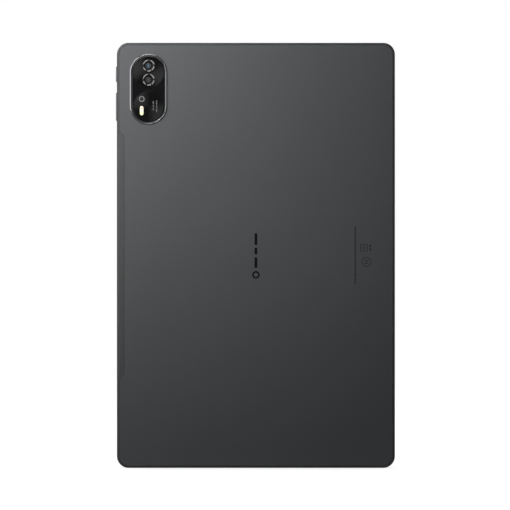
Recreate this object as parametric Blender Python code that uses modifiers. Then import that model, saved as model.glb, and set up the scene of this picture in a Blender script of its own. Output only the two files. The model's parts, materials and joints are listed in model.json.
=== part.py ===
"""Eleven-inch tablet computer, as the separate pieces it comes apart into.

Frame: +Z runs up the long side, the back faces -Y, the screen faces +Y, and +X is to the
right when the back is looked at. The origin is under the middle of the bottom edge.
Spans and sizes below are in millimetres, and every piece is built from them in metres.
"""
import math

import bmesh
import bpy
from mathutils import Matrix, Vector

MM = 0.001

# ---------------------------------------------------------------- driving dimensions (mm)
WIDTH = 168.1
HEIGHT = 257.0
THICKNESS = 7.6
CORNER_RADIUS = 7.1
BACK_EDGE_ROUND = 1.2
FRONT_EDGE_ROUND = 0.35
SIDE_WALL = 1.8
BACK_WALL = 0.8
FIT = 0.15                      # clearance between parts that are fitted into each other

# screen layers, from the back of the frame to the cover glass, along Y
MID_FRAME_X = (-81.9, 81.9)
MID_FRAME_Y = (0.15, 0.5)
MID_FRAME_Z = (3.0, 254.0)
MID_FRAME_CORNER = 4.8
PAN_Y = (0.72, 2.1)
PAN_FLOOR = 0.18
PAN_WALL = 0.4
REFLECTOR_Y = (0.98, 1.08)
LIGHT_GUIDE_Y = (1.2, 1.65)
FILMS_Y = (1.75, 2.05)
LCD_Y = (2.2, 3.0)
LEDGE_Y = 2.85
GASKET_Y = (2.9, 3.05)
GLASS_Y = (3.1, 3.8)
GLASS_RIM = 0.85                # metal left round the glass
PAN_X = (-76.6, 78.2)
PAN_Z = (8.3, 248.9)
LED_BAR_Z = (9.6, 12.4)
GASKET_WIDTH = 1.2
CELL_WINDOW_X = (10.0, 66.0)    # openings in the mid frame over the battery cells
CELL_WINDOW_Z = (52.0, 174.0)
KEY_NOTCH_Z = (203.5, 246.0)
USB_NOTCH = (12.4, 9.4)
FLEX_SLOT_X = (-17.0, 15.0)
FLEX_SLOT_Z = (249.2, 253.0)
SHEET_GAP = 0.3                 # between the pan's walls and the sheets that lie in it

# flat cables: (z, y) points along their middles, and the (x) span of each
FLEX_THICKNESS = 0.12
DISPLAY_FLEX_X = (-16.0, -2.0)
DISPLAY_FLEX_PATH = (
    (249.3, 2.6), (250.1, 2.3), (250.5, 1.6), (250.5, 0.7), (250.1, 0.15), (249.4, -0.02),
    (240.5, -0.02),
)
TOUCH_FLEX_X = (2.0, 14.0)
TOUCH_FLEX_PATH = (
    (250.9, 2.95), (251.9, 2.6), (252.3, 1.8), (252.3, 0.8), (251.9, 0.2), (251.1, -0.02),
    (241.5, -0.02),
)
MAIN_FLEX_X = (-3.0, 3.0)
MAIN_FLEX_PATH = (
    (14.0, -2.15), (21.5, -2.15), (25.0, -2.5), (184.0, -2.5), (188.5, -1.85), (199.0, -1.85),
)

# camera island on the back
ISLAND_X = -64.9
ISLAND_Z = 228.9
ISLAND_SIZE = (22.6, 42.8)
ISLAND_RIM = 1.3                # width of the trim ring's visible lip
ISLAND_Y = (-5.0, -3.85)
COLLAR_WALL = 1.0
COLLAR_END_Y = -3.1
LENS_X = -64.8
MAIN_LENS_Z = 243.1
SECOND_LENS_Z = 234.6
LENS_RING_DIAMETER = 7.3
LENS_RING_BORE = 5.0
LENS_RING_Y = (-5.1, -4.2)
LENS_WINDOW_Y = (-4.75, -4.25)
CAMERA_GLASS_Y = (-4.7, -4.2)
FLASH_X = -69.0
FLASH_Z = 215.9
FLASH_SIZE = (2.9, 6.3)
FLASH_BOARD_X = (-72.0, -66.0)
FLASH_BOARD_Y = (-2.95, -2.65)
FLASH_BOARD_Z = (211.5, 220.5)
FLASH_LED_SIZE = (2.4, 5.4)
FLASH_LED_BACK_Y = -4.0
MODULE_Y = (-2.95, -0.4)
MODULE_SIZE = 8.2
BARREL_DIAMETER = 5.6
BARREL_Y = (-3.85, -1.5)
BARREL_CLEARANCE = 0.5          # of the moving barrel in its module, on the diameter
BARREL_MOUTH = 3.6
SECOND_MODULE_SIZE = 8.0
BRACKET_X = (-70.0, -59.6)
BRACKET_Y = (-0.35, -0.05)
BRACKET_Z = (229.6, 248.0)
BRACKET_EAR_X = -53.6
BRACKET_EAR_Z = 238.0
BRACKET_EAR_SIZE = (4.0, 4.4)
BRACKET_POST_DIAMETER = 3.2

# plastic antenna cover let into the left long edge
STRIP_WIDTH = 4.5
STRIP_Z = (51.2, 204.9)
STRIP_FRONT_Y = 2.2
STRIP_SEAM = 0.06

# side keys
KEY_Y = (-1.5, 0.7)
KEY_PROUD = 0.65
POWER_Z = 238.1
POWER_LENGTH = 9.3
VOLUME_Z = 218.4
VOLUME_LENGTH = 17.0
KEY_FLANGE_EXTRA = 1.6          # how far a key's inner flange passes its cap at each end
POWER_FLANGE_X = (-82.05, -81.75)
VOLUME_FLANGE_X = (-81.95, -81.65)
POWER_NUB_X = -81.5
VOLUME_NUB_X = -81.45
KEY_NUB_OFFSET = 5.5
KEY_FLEX_X = (-81.0, -80.85)
KEY_DOME_X = -81.2
KEY_BRACKET_X = (-80.75, -80.35)
KEY_FLEX_Z = (206.0, 245.0)
KEY_FLEX_Y = (-2.2, 0.9)
KEY_NUB_DIAMETER = 1.2
KEY_DOME_DIAMETER = 2.8

# boards
BOARD_Y = (-2.75, -2.05)
BOARD_X = (-76.0, 76.0)
BOARD_Z = (192.0, 243.0)
BOARD_NOTCH_X = -50.0
BOARD_NOTCH_Z = 207.0
SHIELD_Y = (-2.0, -0.2)
SHIELD_Z = (203.0, 240.0)
SHIELD_WALL = 0.2
SHIELDS = {
    "processor_shield": (-46.0, -8.0),
    "power_shield": (-4.0, 17.0),
    "radio_shield": (44.0, 73.0),
}
USB_BOARD_X = (-36.0, 36.0)
USB_BOARD_Y = (-2.95, -2.35)
USB_BOARD_Z = (2.2, 20.0)

# USB-C socket in the middle of the bottom edge
USB_CENTRE_Y = -0.7
USB_OUTER = (8.94, 3.16)
USB_WALL = 0.3
USB_Z = (0.1, 7.4)
USB_TONGUE = (6.7, 0.7)

# card tray and its ejector in the top edge
TRAY_FACE_X = (20.4, 39.0)
TRAY_FACE_Y = (-2.0, -0.1)
TRAY_FACE_THICKNESS = 1.05
TRAY_X = (21.1, 34.9)
TRAY_Y = (-1.7, -0.4)
TRAY_END_Z = 232.6
CARD_SIZE = (11.2, 15.2)
CARD_RECESS = 0.75
CARD_END_WALL = 1.6
SOCKET_X = (20.2, 35.8)
SOCKET_Y = (-2.0, -0.1)
SOCKET_Z = (232.4, 254.8)
SOCKET_WALL_X = 0.6
SOCKET_WALL_Y = 0.15
ROD_X = 37.4
ROD_Y = -1.05
ROD_DIAMETER = 1.0
ROD_Z = (230.7, 255.2)
PIN_HOLE_DIAMETER = 0.9
LEVER_PIVOT_X = 33.5
LEVER_PIVOT_Z = 229.6
LEVER_X = (27.0, 38.0)
LEVER_Y = (-1.4, -0.9)
LEVER_WIDTH = 1.4
LEVER_BORE_DIAMETER = 0.7

# battery
CELL_Y = (-2.7, -0.15)
CELL_Z = (40.0, 186.0)
CELL_INNER_X = 4.0
CELL_OUTER_X = 72.5
ADHESIVE_Y = (-2.95, -2.78)
GUARD_X = (8.0, 66.0)
GUARD_Y = (-2.0, -1.3)
GUARD_Z = (187.0, 190.5)
TAIL_X = (20.0, 32.0)
TAIL_Y = (-1.95, -1.8)
TAIL_Z = (190.0, 199.0)

# antenna behind the plastic cover, and the route of its cable to the main board
SIDE_ANTENNA_X = (-81.8, -79.2)
SIDE_ANTENNA_Y = (-2.85, -2.65)
SIDE_ANTENNA_Z = (60.0, 196.0)
COAX_DIAMETER = 0.8
COAX_ROUTE = (
    (-68.0, -1.4, 198.0), (-71.5, -1.4, 196.5), (-74.2, -1.6, 192.5), (-75.2, -1.9, 187.0),
    (-75.3, -2.0, 180.0), (-75.3, -2.0, 140.0), (-75.3, -2.0, 100.0), (-75.6, -2.0, 92.0),
    (-76.9, -2.1, 86.5), (-79.0, -2.2, 83.5), (-80.6, -2.2, 82.0),
)

# speakers and microphones
SPEAKER_Y = (-2.85, -0.15)
SPEAKER_TOP_Z = (244.6, 254.7)
SPEAKER_BOTTOM_Z = (2.4, 14.0)
SPEAKERS = {
    "speaker_top_left": ((-48.0, -20.0), SPEAKER_TOP_Z),
    "speaker_top_right": ((46.0, 74.0), SPEAKER_TOP_Z),
    "speaker_bottom_left": ((-74.0, -42.0), SPEAKER_BOTTOM_Z),
    "speaker_bottom_right": ((42.0, 74.0), SPEAKER_BOTTOM_Z),
}
GRILLE_SLOTS = 5
GRILLE_PITCH = 4.6
GRILLE_SLOT = (3.4, 1.2)
GRILLE_CENTRE_Y = -1.2
TOP_MIC_X = 2.0
BOTTOM_MIC_X = -22.0
MIC_HOLE_DIAMETER = 1.0
MIC_HOLE_Y = -1.5
MIC_WIDTH = 4.0
TOP_MIC_Y = (-2.1, -0.9)
TOP_MIC_Z = (250.5, 254.8)
BOTTOM_MIC_Y = (-2.3, -0.9)
BOTTOM_MIC_Z = (2.2, 6.0)
SPEAKER_PORT_HEIGHT = 1.8
SPEAKER_PORT_DEPTH = 0.8

# frame screws and the blocks that take them
SCREW_X = 80.3
SCREW_LOW_Z = 9.5
SCREW_HIGH_Z = 248.6
BOSS_TOP_Y = 0.1
BOSS_HALF_Z = 1.9
BOSS_INNER_X = 78.4
SCREW_HEAD_DIAMETER = 2.4
SCREW_SHANK_DIAMETER = 1.3
SCREW_BORE_DIAMETER = 1.6
SCREW_HEAD = 0.4
SCREW_DEPTH = 2.2
SCREW_SEAT_GAP = 0.02
DRIVE_SIZE = (0.35, 1.5)
DRIVE_DEPTH = 0.25

# front camera and light sensor beside the screen
FRONT_CAMERA_X = -79.5
FRONT_CAMERA_Z = 128.5
FRONT_CAMERA_SIZE = 4.2
FRONT_CAMERA_Y = (-0.9, 2.2)
FRONT_BARREL_DIAMETER = 3.0
FRONT_BARREL_END_Y = 2.95
SENSOR_Z = 117.0
SENSOR_X = (-80.8, -77.6)
SENSOR_Y = (0.6, 2.0)
SENSOR_HEIGHT = 4.0
SENSOR_WINDOW_X = (-80.0, -78.4)
SENSOR_WINDOW_END_Y = 2.9
SENSOR_WINDOW_HEIGHT = 1.6

# ---------------------------------------------------------------- derived dimensions (mm)
HALF_WIDTH = WIDTH / 2
BACK = -THICKNESS / 2
FRONT = THICKNESS / 2
INNER_X = HALF_WIDTH - SIDE_WALL
INNER_BACK = BACK + BACK_WALL
INNER_Z = (SIDE_WALL, HEIGHT - SIDE_WALL)
INNER_CORNER = CORNER_RADIUS - SIDE_WALL
POCKET_X = HALF_WIDTH - GLASS_RIM
POCKET_Z = (GLASS_RIM, HEIGHT - GLASS_RIM)
BEYOND = 3.0                    # how far a cutter reaches past the face that it cuts
JOINED = 0.05                   # overlap of two shapes that become one solid

FINISHES = {
    "anodised_aluminium": ((0.095, 0.1, 0.108), 0.9, 0.42),
    "antenna_plastic": ((0.075, 0.078, 0.082), 0.0, 0.5),
    "polished_trim": ((0.62, 0.63, 0.65), 1.0, 0.12),
    "island_glass": ((0.008, 0.009, 0.011), 0.0, 0.05),
    "lens_glass": ((0.02, 0.03, 0.06), 0.0, 0.03),
    "flash_diffuser": ((0.85, 0.82, 0.66), 0.0, 0.3),
    "cover_glass": ((0.006, 0.006, 0.007), 0.0, 0.04),
    "black_polymer": ((0.02, 0.02, 0.022), 0.0, 0.5),
    "circuit_board": ((0.01, 0.035, 0.05), 0.0, 0.45),
    "bare_steel": ((0.55, 0.56, 0.57), 1.0, 0.3),
    "magnesium": ((0.33, 0.34, 0.35), 0.8, 0.45),
    "cell_wrap": ((0.06, 0.06, 0.065), 0.3, 0.4),
    "polyimide": ((0.35, 0.13, 0.02), 0.0, 0.35),
    "white_film": ((0.85, 0.86, 0.88), 0.0, 0.4),
    "clear_acrylic": ((0.78, 0.84, 0.88), 0.0, 0.08),
    "rubber_seal": ((0.015, 0.015, 0.016), 0.0, 0.75),
}


# ---------------------------------------------------------------- tools
def clear_scene():
    for thing in list(bpy.data.objects):
        bpy.data.objects.remove(thing, do_unlink=True)


def make_collection(name):
    collection = bpy.data.collections.new(name)
    bpy.context.scene.collection.children.link(collection)
    return collection


def finish_material(name):
    """The material of that finish, made once."""
    if name in bpy.data.materials:
        return bpy.data.materials[name]
    colour, metallic, roughness = FINISHES[name]
    material = bpy.data.materials.new(name)
    material.use_nodes = True
    shader = material.node_tree.nodes["Principled BSDF"]
    shader.inputs["Base Color"].default_value = (*colour, 1.0)
    shader.inputs["Metallic"].default_value = metallic
    shader.inputs["Roughness"].default_value = roughness
    return material


def add_object(name, mesh, origin, finish):
    """A piece of the tablet, or a cutter where finish is None. origin is in millimetres."""
    thing = bpy.data.objects.new(name, mesh)
    thing.location = Vector(origin) * MM
    if finish is None:
        thing.hide_render = True
        thing.display_type = "WIRE"
        cutters.objects.link(thing)
    else:
        mesh.materials.append(finish_material(finish))
        tablet.objects.link(thing)
    return thing


def middle(span):
    return (span[0] + span[1]) / 2


def around(centre, size):
    return (centre - size / 2, centre + size / 2)


def grown(span, by):
    return (span[0] - by, span[1] + by)


def block_mesh(name, x, y, z, origin, corner, axis, segments):
    """A box between the spans, its four edges along axis rounded to the corner radius."""
    bm = bmesh.new()
    bmesh.ops.create_cube(bm, size=1.0)
    size = Vector((x[1] - x[0], y[1] - y[0], z[1] - z[0])) * MM
    centre = Vector((middle(x), middle(y), middle(z)))
    bmesh.ops.scale(bm, vec=size, verts=bm.verts)
    bmesh.ops.translate(bm, vec=(centre - Vector(origin)) * MM, verts=bm.verts)
    if corner:
        along = "XYZ".index(axis)
        edges = [
            edge for edge in bm.edges
            if abs((edge.verts[0].co - edge.verts[1].co).normalized()[along]) > 0.9
        ]
        bmesh.ops.bevel(
            bm, geom=edges, offset=corner * MM, segments=segments, profile=0.5, affect="EDGES"
        )
    mesh = bpy.data.meshes.new(name)
    bm.to_mesh(mesh)
    bm.free()
    return mesh


def block(name, x, y, z, finish=None, corner=0.0, axis="Y", segments=4, origin=None):
    origin = origin or (middle(x), middle(y), middle(z))
    mesh = block_mesh(name, x, y, z, origin, corner, axis, segments)
    return add_object(name, mesh, origin, finish)


def cylinder(name, centre, diameter, span, axis="Y", finish=None, sides=20, origin=None):
    """A cylinder along axis over span; centre gives its other two coordinates in order."""
    along = "XYZ".index(axis)
    place = list(centre)
    place.insert(along, middle(span))
    origin = origin or place
    turn = {
        "X": Matrix.Rotation(math.pi / 2, 4, "Y"),
        "Y": Matrix.Rotation(math.pi / 2, 4, "X"),
        "Z": Matrix.Identity(4),
    }[axis]
    shift = Matrix.Translation((Vector(place) - Vector(origin)) * MM)
    bm = bmesh.new()
    bmesh.ops.create_cone(
        bm, cap_ends=True, segments=sides, radius1=diameter / 2 * MM, radius2=diameter / 2 * MM,
        depth=(span[1] - span[0]) * MM, matrix=shift @ turn,
    )
    mesh = bpy.data.meshes.new(name)
    bm.to_mesh(mesh)
    bm.free()
    mesh.shade_smooth()
    mesh.set_sharp_from_angle(angle=math.radians(40))
    return add_object(name, mesh, origin, finish)


def combine(piece, tool, operation):
    modifier = piece.modifiers.new(tool.name, "BOOLEAN")
    modifier.operation = operation
    modifier.solver = "EXACT"
    modifier.object = tool


def cut(piece, *tools):
    for tool in tools:
        combine(piece, tool, "DIFFERENCE")


def unite(piece, *tools):
    for tool in tools:
        combine(piece, tool, "UNION")


def ribbon(name, path, x, thickness, finish):
    """A flat flexible circuit as wide as x, through the (z, y) points of its path."""
    bm = bmesh.new()
    rows = [
        [bm.verts.new(Vector((side, point_y, point_z)) * MM) for side in x]
        for point_z, point_y in path
    ]
    for first, second in zip(rows, rows[1:]):
        bm.faces.new((first[0], first[1], second[1], second[0]))
    mesh = bpy.data.meshes.new(name)
    bm.to_mesh(mesh)
    bm.free()
    piece = add_object(name, mesh, (0.0, 0.0, 0.0), finish)
    solid = piece.modifiers.new("Thickness", "SOLIDIFY")
    solid.thickness = thickness * MM
    solid.offset = 0.0
    solid.use_even_offset = True
    return piece


def tube(name, points, diameter, finish):
    """A round cable through its points."""
    curve = bpy.data.curves.new(name, "CURVE")
    curve.dimensions = "3D"
    curve.bevel_depth = diameter / 2 * MM
    curve.bevel_resolution = 2
    curve.use_fill_caps = True
    spline = curve.splines.new("POLY")
    spline.points.add(len(points) - 1)
    for point, place in zip(spline.points, points):
        point.co = (*(Vector(place) * MM), 1.0)
    return add_object(name, curve, (0.0, 0.0, 0.0), finish)


# ---------------------------------------------------------------- housing
def outer_form(name, finish):
    """The tablet's outside: a rounded slab with a softer edge at the back than at the front."""
    x = (-HALF_WIDTH, HALF_WIDTH)
    origin = (0.0, 0.0, 0.0)
    mesh = block_mesh(name, x, (BACK, FRONT), (0.0, HEIGHT), origin, CORNER_RADIUS, "Y", 8)
    bm = bmesh.new()
    bm.from_mesh(mesh)
    for level, width, segments in ((BACK, BACK_EDGE_ROUND, 3), (FRONT, FRONT_EDGE_ROUND, 1)):
        edges = [
            edge for edge in bm.edges
            if all(abs(vert.co.y - level * MM) < 1e-6 for vert in edge.verts)
        ]
        bmesh.ops.bevel(
            bm, geom=edges, offset=width * MM, segments=segments, profile=0.5, affect="EDGES"
        )
    bm.to_mesh(mesh)
    bm.free()
    return add_object(name, mesh, origin, finish)


def strip_form(name, shrink):
    """The antenna cover's outline on the back: a bar along the edge with slanted ends."""
    inner = -HALF_WIDTH + STRIP_WIDTH - shrink
    outer = -HALF_WIDTH - BEYOND
    x = (outer, inner)
    y = (BACK - BEYOND, STRIP_FRONT_Y - shrink)
    slant = (inner - outer) / 2
    z = (STRIP_Z[0] - BEYOND + slant + shrink, STRIP_Z[1] + BEYOND - slant - shrink)
    origin = (middle(x), middle(y), middle(z))
    mesh = block_mesh(name, x, y, z, origin, 0.0, "Y", 1)
    for vertex in mesh.vertices:
        outward = -math.copysign(slant, vertex.co.x)
        vertex.co.z += math.copysign(outward * MM, vertex.co.z * outward)
    return add_object(name, mesh, origin, None)


def cavity(name):
    x = (-INNER_X, INNER_X)
    y = (INNER_BACK, FRONT + BEYOND)
    return block(name, x, y, INNER_Z, corner=INNER_CORNER, segments=6)


def screw_places():
    return [
        (side * SCREW_X, height)
        for height in (SCREW_LOW_Z, SCREW_HIGH_Z)
        for side in (-1, 1)
    ]


def build_housing():
    housing = outer_form("rear_housing", "anodised_aluminium")
    inside = cavity("cut_cavity")
    pocket = block(
        "cut_glass_pocket", (-POCKET_X, POCKET_X), (LEDGE_Y, FRONT + BEYOND), POCKET_Z,
        corner=CORNER_RADIUS - GLASS_RIM, segments=6,
    )
    cut(housing, inside, pocket)
    for number, (x, z) in enumerate(screw_places(), 1):
        side = math.copysign(1, x)
        span_x = sorted((side * BOSS_INNER_X, side * (INNER_X + JOINED)))
        boss = block(
            f"add_boss_{number}", span_x, (INNER_BACK - JOINED, BOSS_TOP_Y),
            (z - BOSS_HALF_Z, z + BOSS_HALF_Z),
        )
        unite(housing, boss)
        bore = cylinder(
            f"cut_boss_bore_{number}", (x, z), SCREW_BORE_DIAMETER,
            (BOSS_TOP_Y - SCREW_DEPTH - 2 * FIT, BOSS_TOP_Y + BEYOND), sides=12,
        )
        cut(housing, bore)
    post = cylinder(
        "add_bracket_post", (BRACKET_EAR_X, BRACKET_EAR_Z), BRACKET_POST_DIAMETER,
        (INNER_BACK - JOINED, BRACKET_Y[0] - FIT / 2), sides=16,
    )
    unite(housing, post)
    cut(housing, cylinder(
        "cut_post_bore", (BRACKET_EAR_X, BRACKET_EAR_Z), SCREW_BORE_DIAMETER,
        (INNER_BACK + FIT, BRACKET_Y[0] + BEYOND), sides=12,
    ))
    cut(housing, strip_form("cut_strip", 0.0))
    cut(housing, island_plate("cut_island_hole", collar_size(FIT), (BACK - BEYOND, INNER_BACK + 1)))
    for name, z, length in (("power", POWER_Z, POWER_LENGTH), ("volume", VOLUME_Z, VOLUME_LENGTH)):
        cut(housing, block(
            f"cut_{name}_slot", (-HALF_WIDTH - BEYOND, -INNER_X + 1), grown(KEY_Y, FIT),
            grown(around(z, length), FIT), corner=1.2, axis="X",
        ))
    cut(housing, block(
        "cut_usb_opening", grown(around(0.0, USB_OUTER[0]), FIT),
        grown(around(USB_CENTRE_Y, USB_OUTER[1]), FIT / 2), (-BEYOND, SIDE_WALL + 0.5),
        corner=1.55, axis="Z", segments=5,
    ))
    cut(housing, block(
        "cut_tray_opening", grown(TRAY_FACE_X, FIT), grown(TRAY_FACE_Y, FIT),
        (HEIGHT - SIDE_WALL - 0.5, HEIGHT + BEYOND), corner=1.0, axis="Z",
    ))
    for name, (span, height) in SPEAKERS.items():
        z = (-BEYOND, SIDE_WALL + 0.5) if height[0] < HEIGHT / 2 else (
            HEIGHT - SIDE_WALL - 0.5, HEIGHT + BEYOND)
        for number in range(GRILLE_SLOTS):
            x = middle(span) + (number - (GRILLE_SLOTS - 1) / 2) * GRILLE_PITCH
            cut(housing, block(
                f"cut_{name}_{number}", around(x, GRILLE_SLOT[0]),
                around(GRILLE_CENTRE_Y, GRILLE_SLOT[1]), z, corner=0.55, axis="Z", segments=2,
            ))
    for name, x, z in (
        ("top", TOP_MIC_X, (HEIGHT - SIDE_WALL - 0.5, HEIGHT + BEYOND)),
        ("bottom", BOTTOM_MIC_X, (-BEYOND, SIDE_WALL + 0.5)),
    ):
        cut(housing, cylinder(
            f"cut_{name}_mic_hole", (x, MIC_HOLE_Y), MIC_HOLE_DIAMETER, z, axis="Z", sides=10
        ))

    cover = outer_form("antenna_cover", "antenna_plastic")
    combine(cover, strip_form("keep_strip", STRIP_SEAM), "INTERSECT")
    cut(cover, inside)


# ---------------------------------------------------------------- camera island
def collar_size(gap):
    lip = 2 * (ISLAND_RIM + FIT)
    return (ISLAND_SIZE[0] - lip + 2 * gap, ISLAND_SIZE[1] - lip + 2 * gap)


def island_plate(name, size, y, finish=None, segments=9):
    """A plate with the island's pill outline, of that width and height."""
    corner = size[0] / 2 - 0.05
    return block(
        name, around(ISLAND_X, size[0]), y, around(ISLAND_Z, size[1]), finish,
        corner=corner, segments=segments,
    )


def build_camera_island():
    ring = island_plate("camera_trim_ring", ISLAND_SIZE, ISLAND_Y, "polished_trim")
    collar = collar_size(0.0)
    seat = (ISLAND_SIZE[0] - 2 * ISLAND_RIM, ISLAND_SIZE[1] - 2 * ISLAND_RIM)
    bore = (collar[0] - 2 * COLLAR_WALL, collar[1] - 2 * COLLAR_WALL)
    unite(ring, island_plate("add_collar", collar, (ISLAND_Y[1] - JOINED, COLLAR_END_Y)))
    cut(
        ring,
        island_plate("cut_collar_bore", bore, (ISLAND_Y[0] - BEYOND, COLLAR_END_Y + BEYOND)),
        island_plate("cut_glass_seat", seat, (ISLAND_Y[0] - BEYOND, CAMERA_GLASS_Y[1] + 0.1)),
    )

    glass_size = (seat[0] - 0.3, seat[1] - 0.3)
    glass = island_plate("camera_glass", glass_size, CAMERA_GLASS_Y, "island_glass")
    through = grown(CAMERA_GLASS_Y, 1.0)
    for name, z in (("main", MAIN_LENS_Z), ("second", SECOND_LENS_Z)):
        place = (LENS_X, z)
        cut(glass, cylinder(f"cut_{name}_lens_hole", place, LENS_RING_DIAMETER + 0.2, through))
        ring = cylinder(
            f"{name}_lens_ring", place, LENS_RING_DIAMETER, LENS_RING_Y, finish="polished_trim"
        )
        cut(ring, cylinder(f"cut_{name}_ring", place, LENS_RING_BORE, grown(LENS_RING_Y, 1.0)))
        cylinder(
            f"{name}_lens_window", place, LENS_RING_BORE - 0.2, LENS_WINDOW_Y, finish="lens_glass"
        )
    cut(glass, block(
        "cut_flash_hole", around(FLASH_X, FLASH_SIZE[0] + 0.2), through,
        around(FLASH_Z, FLASH_SIZE[1] + 0.2), corner=1.5,
    ))
    block(
        "flash_lens", around(FLASH_X, FLASH_SIZE[0]), CAMERA_GLASS_Y,
        around(FLASH_Z, FLASH_SIZE[1]), "flash_diffuser", corner=1.4, segments=5,
    )

    led_board = block(
        "flash_led_board", FLASH_BOARD_X, FLASH_BOARD_Y, FLASH_BOARD_Z, "circuit_board"
    )
    unite(led_board, block(
        "add_flash_led", around(FLASH_X, FLASH_LED_SIZE[0]),
        (FLASH_LED_BACK_Y, FLASH_BOARD_Y[0] + JOINED), around(FLASH_Z, FLASH_LED_SIZE[1]),
    ))


def build_cameras():
    module = block(
        "main_camera_module", around(LENS_X, MODULE_SIZE), MODULE_Y,
        around(MAIN_LENS_Z, MODULE_SIZE), "black_polymer", corner=0.6, segments=2,
    )
    cut(module, cylinder(
        "cut_barrel_bore", (LENS_X, MAIN_LENS_Z), BARREL_DIAMETER + BARREL_CLEARANCE,
        (MODULE_Y[0] - BEYOND, BARREL_Y[1] + 2 * FIT),
    ))
    barrel = cylinder(
        "main_camera_barrel", (LENS_X, MAIN_LENS_Z), BARREL_DIAMETER, BARREL_Y,
        finish="black_polymer", origin=(LENS_X, BARREL_Y[0], MAIN_LENS_Z),
    )
    cut(barrel, cylinder(
        "cut_barrel_mouth", (LENS_X, MAIN_LENS_Z), BARREL_MOUTH,
        (BARREL_Y[0] - BEYOND, BARREL_Y[0] + 0.5),
    ))
    second = block(
        "second_camera_module", around(LENS_X, SECOND_MODULE_SIZE), MODULE_Y,
        around(SECOND_LENS_Z, SECOND_MODULE_SIZE), "black_polymer", corner=0.6, segments=2,
    )
    unite(second, cylinder(
        "add_second_barrel", (LENS_X, SECOND_LENS_Z), BARREL_DIAMETER - 0.2,
        (BARREL_Y[0], MODULE_Y[0] + JOINED),
    ))
    bracket = block(
        "camera_bracket", BRACKET_X, BRACKET_Y, BRACKET_Z, "bare_steel",
        corner=0.8, segments=2,
    )
    unite(bracket, block(
        "add_bracket_ear", (BRACKET_X[1] - 0.4, BRACKET_EAR_X + BRACKET_EAR_SIZE[0] / 2), BRACKET_Y,
        around(BRACKET_EAR_Z, BRACKET_EAR_SIZE[1]),
    ))
    cut(bracket, cylinder(
        "cut_bracket_hole", (BRACKET_EAR_X, BRACKET_EAR_Z), SCREW_BORE_DIAMETER,
        grown(BRACKET_Y, 1.0), sides=12,
    ))

    front = block(
        "front_camera_module", around(FRONT_CAMERA_X, FRONT_CAMERA_SIZE), FRONT_CAMERA_Y,
        around(FRONT_CAMERA_Z, FRONT_CAMERA_SIZE), "black_polymer", corner=0.4, segments=2,
    )
    unite(front, cylinder(
        "add_front_barrel", (FRONT_CAMERA_X, FRONT_CAMERA_Z), FRONT_BARREL_DIAMETER,
        (FRONT_CAMERA_Y[1] - JOINED, FRONT_BARREL_END_Y),
    ))
    sensor = block(
        "light_sensor", SENSOR_X, SENSOR_Y, around(SENSOR_Z, SENSOR_HEIGHT), "black_polymer"
    )
    unite(sensor, block(
        "add_sensor_window", SENSOR_WINDOW_X, (SENSOR_Y[1] - JOINED, SENSOR_WINDOW_END_Y),
        around(SENSOR_Z, SENSOR_WINDOW_HEIGHT),
    ))


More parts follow.
